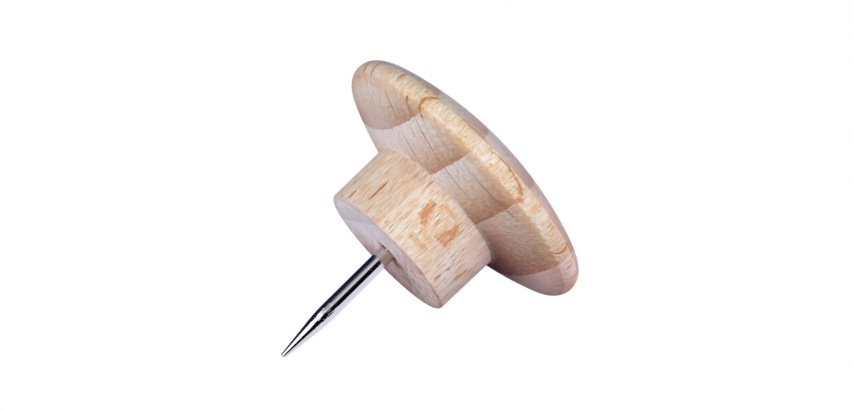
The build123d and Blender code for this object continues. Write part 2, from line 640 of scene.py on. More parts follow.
        inputs = {"Vector": wood, "Scale": self.fray_scale, "Detail": 2.0}
        fray = bench.add("ShaderNodeTexNoise", inputs).outputs[1]
        fray = bench.vector("MULTIPLY", bench.vector("SUBTRACT", fray, (0.5, 0.5, 0.5)), self.ray_fray)
        frayed = bench.vector("ADD", wood, fray)
        masks = {RayShape.SPINDLE: spindles, RayShape.FLECK: 0.0}
        for sheet in self.rays:
            masks[sheet.shape] = bench.math("MAXIMUM", masks[sheet.shape], sheet.mask(bench, frayed))
        broken = bench.spread(bench.texture(wood, self.broken_cells, 3.0), *self.broken_range)
        lined = bench.spread(bench.texture(wood, self.fleck_cells), *self.fleck_lines)
        return bench.times(masks[RayShape.SPINDLE], broken), bench.times(masks[RayShape.FLECK], lined)

    def figure_group(self) -> bpy.types.NodeTree:
        """Builds the wood figure from coordinates in millimetres.

        It puts out the distance outward, the position in a ring, the share of browner wood with painted
        shade towards the right, the masks of spindles and of flecks, fine lines along the rays, broad
        patches, ochre strokes, cream strokes that are partly painted highlights, clustered dark threads,
        single fibres and the relief of end grain.

        Returns:
            The node group.
        """
        bench, source = new_group("beech_figure")
        outward, wood = self.wood_directions(bench, source["Vector"])
        sway = bench.swing(bench.texture(wood, self.sway_cells), self.sway, 0.0)
        swayed = bench.vector("ADD", wood, bench.joined(Y=sway))
        ray, fleck = self.ray_masks(bench, wood, swayed)
        # Browner wood and painted shade, rising to the right and easing off at the far right.
        brown = bench.times(bench.spread(outward, *self.brown_and_shade_start), bench.spread(outward, *self.brown_and_shade_end))
        threads = bench.spread(bench.texture(swayed, self.thread_cells, 1.0), *self.thread_range)
        cluster = bench.spread(bench.texture(swayed, self.cluster_cells), *self.cluster_range)
        bench.publish(
            {
                "Outward": outward,
                "Ring": self.ring_position(bench, outward, wood),
                "BrownAndShade": brown,
                "Ray": ray,
                "Fleck": fleck,
                "Line": bench.texture(swayed, self.line_cells),
                "Patch": bench.spread(bench.texture(swayed, self.patch_cells), *self.patch_range),
                "Stroke": bench.spread(bench.texture(swayed, self.stroke_cells, 3.0), *self.stroke_range),
                # Cream strokes: pale fibres, partly painted highlights on lit fibres.
                "Cream": bench.spread(bench.texture(swayed, self.cream_cells), *self.cream_range),
                "Thread": bench.times(threads, cluster),
                "Fibre": bench.texture(swayed, self.fibre_cells, 1.0),
                "Grain": bench.texture(swayed, self.grain_cells, 3.0),
            }
        )
        return bench.tree

    def strokes(self, bench: NodeBench, place: Socket, along: Triple, beside: Triple) -> Socket:
        """Adds the short aslant strokes that sanding leaves on end grain: noise drawn out one way.

        Args:
            bench: Bench of the material.
            place: Coordinates in millimetres.
            along: Direction of the strokes, with the cells in a millimetre as its length.
            beside: Direction across them, in the same way.

        Returns:
            The noise value, about 0 to 1.
        """
        ways = {way: bench.vector("DOT_PRODUCT", place, step) for way, step in (("X", along), ("Y", beside))}
        return bench.noise(bench.joined(**ways), 3.0)

    def side_grain(self, bench: NodeBench, figure: Outputs) -> Value:
        """Adds the colour of the surfaces that lie along the fibres.

        Args:
            bench: Bench of the material.
            figure: Outputs of the wood figure.

        Returns:
            The colour.
        """
        stops = [(0.0, self.side_early), (0.4, self.side_early), (0.95, self.side_late)]
        fleck = bench.mix(bench.spread(figure["Fleck"], *self.broad_range), self.faint_ray, self.broad_ray)
        shown = bench.spread(figure["Fleck"], *self.fleck_range)
        upright = bench.mark(Mark.UPRIGHT)
        covers = (
            (figure["Patch"], self.tan_share, self.tan),
            (figure["Stroke"], self.ochre_share, self.ochre),
            (shown, self.fleck_share, fleck),
            # Pale fibres, partly painted highlights on lit fibres.
            (bench.times(figure["Cream"], upright), self.cream_share, self.cream),
            (bench.spread(figure["Fibre"], *self.tan_range), self.tan_fibre_share, self.tan_fibre),
            # Pale fibres, partly painted highlights on lit fibres.
            (bench.spread(figure["Fibre"], *self.cream_fibre_range), self.cream_fibre_share, self.cream),
            (shown, self.fleck_glaze, fleck),
            (bench.times(figure["Thread"], upright), self.thread_share, self.thread),
            (figure["Ray"], self.side_ray_share, self.side_ray),
        )
        layers = [(bench.times(mask, share), colour, Blend.COVER) for mask, share, colour in covers]
        # Painted light: warm on the hub's left, cool and pale on its right, and lifted on the rim.
        hub = bench.times(bench.mark(Mark.HUB), bench.spread(figure["Outward"], *self.hub_range))
        tone = bench.mix(bench.spread(figure["Outward"], *self.painted_hub_light_turn), self.painted_warm_hub_light, self.painted_cool_hub_light)
        layers.append((1.0, bench.mix(hub, self.painted_rim_light, tone), Blend.TONE))
        # Painted light: the side grain at the far right is lightened and warmed.
        layers.append((bench.spread(figure["Outward"], *self.painted_right_light_side), self.painted_right_light, Blend.TONE))
        return bench.layered(bench.ramp(figure["Ring"], stops), layers)

    def end_grain(self, bench: NodeBench, figure: Outputs, scuff: Socket) -> Value:
        """Adds the colour of the surfaces that cut across the fibres.

        Args:
            bench: Bench of the material.
            figure: Outputs of the wood figure.
            scuff: Scuffs of sanding.

        Returns:
            The colour.
        """
        stops = [(0.0, self.end_early), (0.15, self.end_early), (0.55, self.end_mid), (0.97, self.end_late)]
        outward = figure["Outward"]
        corner, dome = bench.mark(Mark.CORNER), bench.mark(Mark.DOME)
        grain = bench.spread(figure["Grain"], *self.end_grain_tone)
        tone = bench.times(grain, bench.spread(figure["Line"], *self.end_line_tone))
        # Painted light: the end grain at the far right, off the dome, is lightened and warmed.
        outer = bench.times(bench.spread(outward, *self.painted_right_light_end), bench.spread(dome, 1.0, 0.0))
        patchy = bench.spread(figure["Patch"], *self.shoulder_range)
        shoulder = bench.times(bench.mark(Mark.SHOULDER), patchy)
        layers = [
            (1.0, tone, Blend.TONE),
            # Browner wood, with painted shade towards the right side.
            (figure["BrownAndShade"], self.brown_and_shade_tone, Blend.TONE),
            (outer, self.painted_right_light, Blend.TONE),
            # Painted shade: the underside beside the hub's right side darkens and reddens.
            (bench.times(corner, bench.spread(outward, *self.corner_shade_range)), self.painted_corner_shade, Blend.TONE),
            # Painted light: a pale lilac glow on the underside beside the hub's left side.
            (bench.times(corner, bench.spread(outward, *self.painted_left_light_range)), self.seam_tone, Blend.COVER),
            (shoulder, self.shoulder_tone, Blend.COVER),
            # Sanding scuffs, partly painted highlights and shade standing for their relief.
            (bench.spread(scuff, *self.scuff_and_highlight_range), self.scuff_and_highlight, Blend.COVER),
            (bench.spread(scuff, *self.scuff_and_shade_range), self.scuff_and_shade, Blend.COVER),
            (bench.times(figure["Ray"], self.end_ray_share), self.end_ray, Blend.COVER),
            (bench.times(dome, self.dome_share), self.dome_tone, Blend.COVER),
        ]
        return bench.layered(bench.ramp(figure["Ring"], stops), layers)

    def sanded_face(self, bench: NodeBench, place: Socket, figure: Outputs, mottle: Socket) -> Value:
        """Adds the colour of the hub's end face: pale and dusty, with faint figure and wear, painted shade
        towards its right side and at its rim, and a painted shadow of the pin with some dirt.

        Args:
            bench: Bench of the material.
            place: Coordinates in millimetres.
            figure: Outputs of the wood figure.
            mottle: Uneven tone.

        Returns:
            The colour.
        """
        stops = [(0.0, self.face_pale), (0.5, self.face_pale), (0.97, self.face_dull)]
        worn = bench.math("MULTIPLY_ADD", figure["BrownAndShade"], *self.wear_share)
        wear = self.strokes(bench, place, self.wear_along, self.wear_beside)
        # Painted shadow of the pin, with some dirt, behind the pin on the face's right side.
        soil_and_shadow = bench.times(bench.spread(bench.parts(place)["Y"], *self.soil_and_shadow_range), figure["BrownAndShade"])
        layers = [
            (bench.spread(mottle, *self.face_dull_range), self.face_dull, Blend.COVER),
            # Painted shade: the end face browns towards its right side.
            (figure["BrownAndShade"], self.face_painted_shade, Blend.TONE),
            (1.0, bench.spread(figure["Grain"], *self.face_grain_tone), Blend.TONE),
            (bench.times(bench.spread(wear, *self.wear_light_range), worn), self.face_pale, Blend.COVER),
            (bench.times(bench.spread(wear, *self.wear_dark_range), worn), self.face_hollow, Blend.COVER),
            # Painted shade: the end face darkens and reddens towards its rim.
            (bench.mark(Mark.FACE_RIM_SHADE), self.face_rim_shade, Blend.TONE),
            (soil_and_shadow, self.face_soil_and_shadow, Blend.TONE),
        ]
        return bench.layered(bench.ramp(figure["Ring"], stops), layers)

    def material(self) -> bpy.types.Material:
        """Builds the material: the figure's side grain, end grain and end face, with its relief as bump.

        Returns:
            The material.
        """
        material, bench = new_material(Slot.BEECH.value)
        place = bench.millimetres()
        figure = bench.add("ShaderNodeGroup", {"Vector": place}, node_tree=self.figure_group()).outputs
        mottle = SurfaceMottle.place(bench, place, *self.mottle_sizes)
        scuff = self.strokes(bench, place, self.scuff_along, self.scuff_beside)
        across, face, seam = (bench.mark(name) for name in (Mark.END_GRAIN, Mark.END_FACE, Mark.SEAM))

        ends = bench.spread(bench.swing(figure["Grain"], self.border_rag, across), *self.border_range)
        fuzz = bench.times(seam, bench.spread(figure["Grain"], *self.seam_range))
        fuzz = bench.times(fuzz, bench.spread(figure["BrownAndShade"], *self.seam_fade))
        dirt = bench.times(seam, bench.spread(figure["Fibre"], *self.dirt_range))
        scorch = bench.spread(figure["Outward"], *self.scorch_start)
        scorch = bench.times(scorch, bench.spread(figure["Outward"], *self.scorch_end))
        layers = [
            (ends, self.end_grain(bench, figure, scuff), Blend.COVER),
            (face, self.sanded_face(bench, place, figure, mottle), Blend.COVER),
            (fuzz, self.seam_tone, Blend.COVER),
            (dirt, self.seam_dirt, Blend.COVER),
            (bench.times(bench.mark(Mark.CREST), scorch), self.side_ray, Blend.COVER),
        ]

        fibres = bench.times(bench.math("SUBTRACT", figure["Cream"], figure["Thread"]), self.fibre_relief)
        grain = bench.times(figure["Grain"], self.grain_relief)
        pores = bench.math("MULTIPLY_ADD", scuff, self.scuff_relief, grain)
        pores = bench.times(pores, bench.spread(face, *self.face_relief))
        relief = bench.add("ShaderNodeMix", {0: across, 2: fibres, 3: pores}).outputs[0]
        relief = bench.math("MULTIPLY_ADD", figure["Ray"], self.ray_relief, relief)
        bench.principled(
            {
                "Base Color": bench.layered(self.side_grain(bench, figure), layers),
                "Roughness": bench.spread(mottle, *self.rough_range),
                "Normal": bench.bump(relief, self.relief_depth),
                "Specular IOR Level": 0.0,
                "Sheen Weight": self.sheen,
                "Sheen Roughness": self.sheen_roughness,
                "Sheen Tint": self.sheen_tint,
            }
        )
        return material


@dataclass(frozen=True)
class SteelFinish:
    """Bright drawn wire: nearly smooth, ground where the point starts, with a painted reflection by the
    wood.

    The painted reflection of the end face ends at a height, and a narrow painted highlight runs down it.
    Ranges are as in the beech.
    """

    colour: Colour = srgb(238, 238, 242)
    # Painted reflection of the end face on the steel next to the wood.
    painted_reflection: Colour = srgb(196, 184, 168)
    reflection_end: float = -0.72
    reflection_mouth: Range = (-0.1, 0.0)
    painted_highlight_line: float = -0.2
    painted_highlight_range: Range = (0.06, 0.3, 0.4, 1.0)
    grind_cells: Triple = (5.0, 5.0, 1.4)
    grind_top: Range = (-4.6, -5.8)
    grind_end: Range = (-7.6, -6.4)
    grind_dullness: float = 0.1
    grind_depth: float = 0.05
    mottle_sizes: Pair = (1.5, 9.0)
    rough_range: Range = (0.3, 0.8, 0.07, 0.12)

    def material(self) -> bpy.types.Material:
        """Builds the material.

        Returns:
            The material.
        """
        material, bench = new_material(Slot.STEEL.value)
        place = bench.millimetres()
        parts = bench.parts(place)
        height = parts["Z"]
        ground = bench.times(bench.spread(height, *self.grind_top), bench.spread(height, *self.grind_end))
        marks = bench.texture(place, self.grind_cells)
        mottle = SurfaceMottle.place(bench, place, *self.mottle_sizes)
        dull = bench.math("MULTIPLY_ADD", ground, self.grind_dullness, mottle)
        # Painted reflection of the end face near the wood, with a narrow painted highlight down it.
        beside = bench.math("ABSOLUTE", bench.math("SUBTRACT", parts["X"], self.painted_highlight_line))
        left = bench.spread(beside, *self.painted_highlight_range)
        left = bench.math("MAXIMUM", left, bench.spread(height, *self.reflection_mouth))
        painted_reflection_share = bench.times(bench.math("GREATER_THAN", height, self.reflection_end), left)
        bench.principled(
            {
                "Base Color": bench.mix(painted_reflection_share, self.colour, self.painted_reflection),
                "Metallic": 1.0,
                "Roughness": bench.spread(dull, *self.rough_range),
                "Normal": bench.bump(bench.times(marks, ground), self.grind_depth),
            }
        )
        return material


@dataclass(frozen=True)
class GlueFinish:
    """Set wood glue: cloudy amber with a dull skin."""

    clear: Colour = srgb(214, 184, 128)
    cloudy: Colour = srgb(232, 214, 172)
    cloud_range: Range = (0.3, 0.7)
    mottle_sizes: Pair = (1.2, 8.0)
    rough_range: Range = (0.2, 0.8, 0.3, 0.5)
    skin_depth: float = 0.01
    skin_strength: float = 0.4

    def material(self) -> bpy.types.Material:
        """Builds the material.

        Returns:
            The material.
        """
        material, bench = new_material(Slot.GLUE.value)
        mottle = SurfaceMottle.place(bench, bench.millimetres(), *self.mottle_sizes)
        bench.principled(
            {
                "Base Color": bench.mix(bench.spread(mottle, *self.cloud_range), self.clear, self.cloudy),
                "Roughness": bench.spread(mottle, *self.rough_range),
                "Normal": bench.bump(mottle, self.skin_depth, self.skin_strength),
            }
        )
        return material


def new_object(name: str, points: np.ndarray, faces: list[list[int]]) -> bpy.types.Object:
    """Makes an object at the origin from points in millimetres.

    Args:
        name: Name of the object and its mesh.
        points: Points as an array of coordinates.
        faces: Point numbers of each face.

    Returns:
        The object, linked to the scene.
    """
    mesh = bpy.data.meshes.new(name)
    mesh.from_pydata((points * MM).tolist(), [], faces)
    piece = bpy.data.objects.new(name, mesh)
    bpy.context.scene.collection.objects.link(piece)
    return piece


def hide_from(thing: bpy.types.Object, *rays: str) -> None:
    """Hides an object from kinds of light rays, such as camera or shadow."""
    for ray in rays:
        setattr(thing, f"visible_{ray}", False)


def arc(centre: Pair, radius: float, start: float, end: float, count: int) -> np.ndarray:
    """Samples an arc at even angles, in radians: centre plus radius times their cosine and sine."""
    angle = np.linspace(start, end, count)
    return np.stack([centre[0] + radius * np.cos(angle), centre[1] + radius * np.sin(angle)], axis=1)


def run(start: Pair, end: Pair, count: int) -> np.ndarray:
    """Samples a straight run from start to end as radius and height, at even steps."""
    share = np.linspace(0.0, 1.0, count)[:, None]
    return (1 - share) * np.array(start) + share * np.array(end)


def turned_grid(profile: np.ndarray, columns: int) -> np.ndarray:
    """Turns a profile about the axis: radius times cosine and sine of the column's angle, at its height.

    Args:
        profile: Points as an array of radius and height.
        columns: Number of points round the axis.

    Returns:
        Points as an array of rows, columns and coordinates.
    """
    angle = np.linspace(0.0, 2 * np.pi, columns, endpoint=False)
    radius, height = profile[:, :1], profile[:, 1:]
    level = np.broadcast_to(height, (len(profile), columns))
    return np.stack([radius * np.cos(angle), radius * np.sin(angle), level], axis=-1)


def closed_surface(name: str, grid: np.ndarray, poles: tuple[Triple, Triple]) -> bpy.types.Object:
    """Makes a closed mesh from a grid of points whose columns run round the axis, with a pole at each end.

    Row and column neighbours form four-sided faces, the last column joins the first, and each pole joins
    the row next to it by triangles.

    Args:
        name: Name of the object and its mesh.
        grid: Points in millimetres, as an array of rows, columns and coordinates.
        poles: Point before the first row and point after the last row.

    Returns:
        The object, smooth shaded, at the origin.
    """
    rows, columns, _ = grid.shape
    number = np.arange(rows * columns).reshape(rows, columns)
    onward = np.roll(number, -1, axis=1)
    quads = np.stack([number[:-1], number[1:], onward[1:], onward[:-1]], axis=-1).reshape(-1, 4)
    first, last = rows * columns, rows * columns + 1
    fan_first = np.stack([np.full(columns, first), number[0], onward[0]], axis=1)
    fan_last = np.stack([np.full(columns, last), onward[-1], number[-1]], axis=1)
    points = np.concatenate([grid.reshape(-1, 3), np.array(poles)])
    piece = new_object(name, points, quads.tolist() + fan_first.tolist() + fan_last.tolist())
    mesh = piece.data
    mesh.polygons.foreach_set("use_smooth", np.ones(len(mesh.polygons), dtype=bool))
    mesh.update()
    return piece


@dataclass
class TurnedHead:
    """Wooden head: lens-shaped disc, hub with a flat end, and the drilled hole's mouth and wall.

    The steps of its wood's marks are where a mark starts and where it is full, by the normal's axial part
    or, at the corner and the shoulder, by the radius.
    """

    underside_radius: float = 23.5
    dome_radius: float = 25.0
    rim_radius: float = 1.08
    hub_length: float = 4.85
    hub_end_radius: float = 5.24
    hub_root_radius: float = 5.3
    hub_edge_radius: float = 0.2
    root_fillet: float = 0.25
    hole_radius: float = 0.7
    mouth_bevel: float = 0.2
    face_dish: float = 0.12
    hole_depth: float = 4.8
    drill_point_angle: float = 118.0
    end_above: Pair = (0.33, 0.5)
    end_below: Pair = (0.3, 0.93)
    upright_step: Pair = (0.5, 0.15)
    face_step: Pair = (0.2, 0.95)
    face_rim_width: float = 0.7
    crest_start: Pair = (0.28, 0.38)
    crest_end: Pair = (0.5, 0.4)
    corner_step: Pair = (8.9, 5.6)
    shoulder_step: Pair = (9.2, 10.1)
    seam_start: Pair = (0.4, 0.7)
    seam_end: Pair = (0.97, 0.85)
    columns: int = 400
    dome_rows: int = 60
    rim_rows: int = 44
    underside_rows: int = 40
    rounding_rows: int = 8
    hub_rows: int = 30
    face_rows: int = 30
    mouth_rows: int = 4
    hole_rows: int = 5
    finish: BeechFinish = field(default_factory=BeechFinish)

    def profile(self) -> np.ndarray:
        """Works out the half outline from the dome's top to the hole's end, without the two axis points.

        Dome, rim and underside are arcs tangent to one another, and the hub is a slightly tapered line
        between two small roundings. The end face is hollowed by a parabola, and the hole is a bevel and a
        straight wall.

        Returns:
            Points as an array of radius and height, in millimetres.
        """
        disc_radius = min(abs(side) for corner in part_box(Node.HEAD.value) for side in corner[:2]) / MM
        rim_r = disc_radius - self.rim_radius
        low_centre = self.hub_length + math.sqrt(self.underside_radius**2 - self.hub_root_radius**2)
        rim_z = low_centre - math.sqrt((self.underside_radius - self.rim_radius) ** 2 - rim_r**2)
        top_centre = rim_z - math.sqrt((self.dome_radius - self.rim_radius) ** 2 - rim_r**2)
        dome_end = math.atan2(rim_z - top_centre, rim_r)
        under_start = math.atan2(rim_z - low_centre, rim_r)

        fillet_r = self.hub_root_radius + self.root_fillet
        fillet_z = low_centre - math.sqrt((self.underside_radius + self.root_fillet) ** 2 - fillet_r**2)
        fillet_centre = (fillet_r, fillet_z)
        under_end = math.atan2(fillet_z - low_centre, fillet_r)
        edge = self.hub_edge_radius
        edge_centre = (self.hub_end_radius - edge, edge)
        mouth_radius = self.hole_radius + self.mouth_bevel
        face = run((edge_centre[0], 0.0), (mouth_radius, 0.0), self.face_rows)[1:]
        face[:, 1] = self.face_dish * (1 - (face[:, 0] / edge_centre[0]) ** 2)
        mouth = (mouth_radius, face[-1, 1])
        wall = (self.hole_radius, mouth[1] + self.mouth_bevel)
        stretches = [
            arc((0.0, top_centre), self.dome_radius, math.pi / 2, dome_end, self.dome_rows)[1:],
            arc((rim_r, rim_z), self.rim_radius, dome_end, under_start, self.rim_rows)[1:],
            arc((0.0, low_centre), self.underside_radius, under_start, under_end, self.underside_rows)[1:],
            arc(fillet_centre, self.root_fillet, under_end + math.pi, math.pi, self.rounding_rows)[1:],
            run((self.hub_root_radius, fillet_z), (self.hub_end_radius, edge), self.hub_rows)[1:],
            arc(edge_centre, edge, 0.0, -math.pi / 2, self.rounding_rows)[1:],
            face,
            run(mouth, wall, self.mouth_rows)[1:],
            run(wall, (self.hole_radius, self.hole_depth), self.hole_rows)[1:],
        ]
        return np.concatenate(stretches)

    def build(self) -> bpy.types.Object:
        """Builds the head, with the marks of its wood as attributes of the points.

        Returns:
            The head's object.
        """
        profile = self.profile()
        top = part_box(Node.HEAD.value)[1].z / MM
        drill_point = self.hole_radius / math.tan(math.radians(self.drill_point_angle / 2))
        poles = ((0.0, 0.0, top), (0.0, 0.0, self.hole_depth + drill_point))
        piece = closed_surface("turned_head", turned_grid(profile, self.columns), poles)
        for mark, share in self._marks(profile).items():
            values = np.concatenate([np.repeat(share, self.columns), share[:1], share[-1:]])
            attribute = piece.data.attributes.new(mark.value, "FLOAT", "POINT")
            attribute.data.foreach_set("value", values.astype(np.float32))
        return piece

    def _marks(self, profile: np.ndarray) -> dict[Mark, np.ndarray]:
        """Works out where the wood changes its look, from radius, height and the normal's axial part.

        End grain, dome, upright wood and end face are smooth steps of the axial part, which is 0 on a side
        and 1 on an end. The step to end grain comes sooner above, where the dome's sanding has left a clear
        edge, the crest. The face's rim, where shade is painted, is a step of the radius at the end face's
        edge. So are the shoulder, which is the hump between rim and underside, and the corner, which is the
        underside towards the hub, where shade and light are painted.
        The seam is the rounding between underside and hub, and the hub all that is lower than its root.

        Args:
            profile: Points as an array of radius and height.

        Returns:
            Each mark with its share for each point, from 0 to 1.
        """
        radius, height = profile.T
        along = np.gradient(profile, axis=0)
        axial = np.abs(along[:, 0]) / np.maximum(np.hypot(along[:, 0], along[:, 1]), 1e-9)
        above = along[:, 0] > 0
        under = ~above & (radius > self.hub_root_radius + self.root_fillet)
        low = (height < self.hub_length / 2) & (radius > self.hole_radius)
        fillet = ~above & (height > self.hub_length / 2)
        fillet &= np.abs(radius - self.hub_root_radius) < self.root_fillet

        def step(value: np.ndarray, start: float, end: float) -> np.ndarray:
            """Rises smoothly from 0 at start to 1 at end."""
            share = np.clip((value - start) / (end - start), 0.0, 1.0)
            return share * share * (3 - 2 * share)

        end_grain = np.where(above, step(axial, *self.end_above), step(axial, *self.end_below))
        face_rim_shade = step(radius, self.hub_end_radius - self.face_rim_width, self.hub_end_radius)
        return {
            Mark.END_GRAIN: end_grain,
            Mark.UPRIGHT: step(axial, *self.upright_step),
            Mark.HUB: np.where(height < self.hub_length, 1.0, 0.0),
            Mark.END_FACE: np.where(low, step(axial, *self.face_step), 0.0),
            Mark.FACE_RIM_SHADE: np.where(low, face_rim_shade, 0.0),
            Mark.DOME: np.where(above, end_grain, 0.0),
            Mark.CREST: np.where(above, step(axial, *self.crest_start) * step(axial, *self.crest_end), 0.0),
            Mark.CORNER: np.where(under, step(radius, *self.corner_step), 0.0),
            Mark.SHOULDER: np.where(under, step(radius, *self.shoulder_step), 0.0),
            Mark.SEAM: np.where(fillet, step(axial, *self.seam_start) * step(axial, *self.seam_end), 0.0),
        }

    def dress(self, piece: bpy.types.Object) -> None:
        """Gives the head its finish and its place in the frame.

        Args:
            piece: The head's object.
        """
        piece.data.materials.append(self.finish.material())
        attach(piece, BODY)
        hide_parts(Node.HEAD.value)


@dataclass
class SteelPin:
    """Wire pin: round tip, ground cone, straight shank and the ridged tang inside the hub."""

    radius: float = 0.6
    point_length: float = 3.65
    point_blend: float = 0.8
    tip_radius: float = 0.19
    tang_length: float = 4.6
    tang_lead: float = 0.3
    lead_radius: float = 0.3
    ridge_count: int = 10
    ridge_height: float = 0.06
    ridge_start: float = 0.05
    ridge_rise: float = 0.3
    mouth_offset: float = 0.04
    lean: float = 0.018
    bend_start: float = 0.5
    columns: int = 120
    tip_rows: int = 12
    cone_rows: int = 40
    blend_rows: int = 16
    shank_rows: int = 56
    tang_rows: int = 40
    lead_rows: int = 6
    finish: SteelFinish = field(default_factory=SteelFinish)

    def profile(self) -> np.ndarray:
        """Works out the half outline from the tip to the tang's end, without the two axis points.

        The cone is the line through the shank's end that touches the tip's circle. Grinding has rounded the
        edge between cone and shank, so a parabola tangent to both takes its place.

        Returns:
            Points as an array of radius and height, in millimetres.
        """
        reach = -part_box(Node.PIN.value)[0].z / MM
        cone_z = self.point_length - reach
        tip_z = self.tip_radius - reach
        rise = cone_z - tip_z
        touch = math.acos(self.tip_radius / math.hypot(self.radius, rise))
        half_angle = touch - math.atan2(rise, self.radius)
        cone_start = (self.tip_radius * math.cos(half_angle), tip_z - self.tip_radius * math.sin(half_angle))
        corner = np.array([self.radius, cone_z])
        blend_end = corner + (0.0, self.point_blend)
        blend_start = corner - self.point_blend * (corner - cone_start) / np.hypot(*(corner - cone_start))
        share = np.linspace(0.0, 1.0, self.blend_rows)[1:, None]
        mouth = (self.radius, 0.0)
        lead = (self.radius, self.tang_length - self.tang_lead)
        stretches = [
            arc((0.0, tip_z), self.tip_radius, -math.pi / 2, -half_angle, self.tip_rows)[1:],
            run(cone_start, blend_start, self.cone_rows)[1:],
            (1 - share) ** 2 * blend_start + 2 * share * (1 - share) * corner + share**2 * blend_end,
            run(blend_end, mouth, self.shank_rows)[1:],
            run(mouth, lead, self.tang_rows)[1:],
            run(lead, (self.lead_radius, self.tang_length), self.lead_rows)[1:],
        ]
        return np.concatenate(stretches)

    def build(self) -> bpy.types.Object:
        """Builds the pin: the turned profile, with the tang's radius waved round the axis into ridges.

        From inside the mouth the wire bends a little to one side, by the offset at the end face and by the
        lean for each millimetre below it.

        Returns:
            The pin's object.
        """
        profile = self.profile()
        height = profile[:, 1]
        grid = turned_grid(profile, self.columns)
        angle = np.linspace(0.0, 2 * np.pi, self.columns, endpoint=False)
        depth = np.clip((height - self.ridge_start) / self.ridge_rise, 0.0, 1.0)[:, None]
        wave = 1 + depth * self.ridge_height / self.radius * np.cos(self.ridge_count * angle)
        grid[..., :2] *= wave[..., None]
        below = np.maximum(-height, 0.0)
        entry = np.clip(1 - height / self.bend_start, 0.0, 1.0)
        grid[..., 0] += (self.mouth_offset * entry + self.lean * below)[:, None]
        low, high = (corner.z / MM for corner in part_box(Node.PIN.value))
        poles = ((self.mouth_offset - self.lean * low, 0.0, low), (0.0, 0.0, high))
        return closed_surface("wire_pin", grid, poles)

    def dress(self, piece: bpy.types.Object) -> None:
        """Gives the pin its finish and its place in the frame.

        Args:
            piece: The pin's object.
        """
        piece.data.materials.append(self.finish.material())
        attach(piece, BODY)
        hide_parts(Node.PIN.value)


@dataclass
class GlueFilling:
    """Set glue round the tang, which keeps its CAD solid."""

    finish: GlueFinish = field(default_factory=GlueFinish)

    def dress(self) -> bpy.types.Object:
        """Gives the CAD solid its finish.

        Returns:
            The glue's object.
        """
        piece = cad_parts[Node.GLUE.value]
        piece.data.materials.clear()
        piece.data.materials.append(self.finish.material())
        return piece


@dataclass(frozen=True)
class Lamp:
    """One soft area lamp that faces the head."""

    name: str
    towards: Triple
    distance: float
    size: float
    power: float
    colour: Triple

    def build(self, target: Vector) -> bpy.types.Object:
        """Hangs the lamp.

        Args:
            target: Point that it faces, in metres.

        Returns:
            The lamp's object.
        """
        light = bpy.data.lights.new(self.name, "AREA")
        light.shape = "DISK"
        light.size = self.size * MM
        light.energy = self.power
        light.color = self.colour
        lamp = bpy.data.objects.new(self.name, light)
        way = Vector(self.towards).normalized()
        lamp.location = target + way * self.distance * MM
        lamp.rotation_euler = way.to_track_quat("Z", "Y").to_euler()
        hide_from(lamp, "camera", "glossy")
        bpy.context.scene.collection.objects.link(lamp)
        return lamp


@dataclass(frozen=True)
class ReflectionCard:
    """Studio card that only shiny surfaces see: part of an upright cylinder round the pin."""

    name: str
    start: float
    end: float
    low: float
    high: float
    colour: Colour
    radius: float = 70.0
    columns: int = 25

    def build(self) -> bpy.types.Object:
        """Builds the card: radius times sine and minus cosine of the angle from the front, at each height.

        Returns:
            The card's object.
        """
        angle = np.radians(np.linspace(self.start, self.end, self.columns))
        turn, level = np.meshgrid(angle, np.array([self.low, self.high]))
        points = np.stack([self.radius * np.sin(turn), -self.radius * np.cos(turn), level], axis=-1)
        number = np.arange(turn.size).reshape(turn.shape)
        faces = np.stack([number[0, :-1], number[0, 1:], number[1, 1:], number[1, :-1]], axis=1)
        card = new_object(self.name, points.reshape(-1, 3), faces.tolist())
        material, bench = new_material(self.name)
        bench.surface(bench.add("ShaderNodeEmission", {"Color": self.colour, "Strength": 1.0}).outputs[0])
        card.data.materials.append(material)
        hide_from(card, "camera", "diffuse", "shadow", "transmission")
        return card


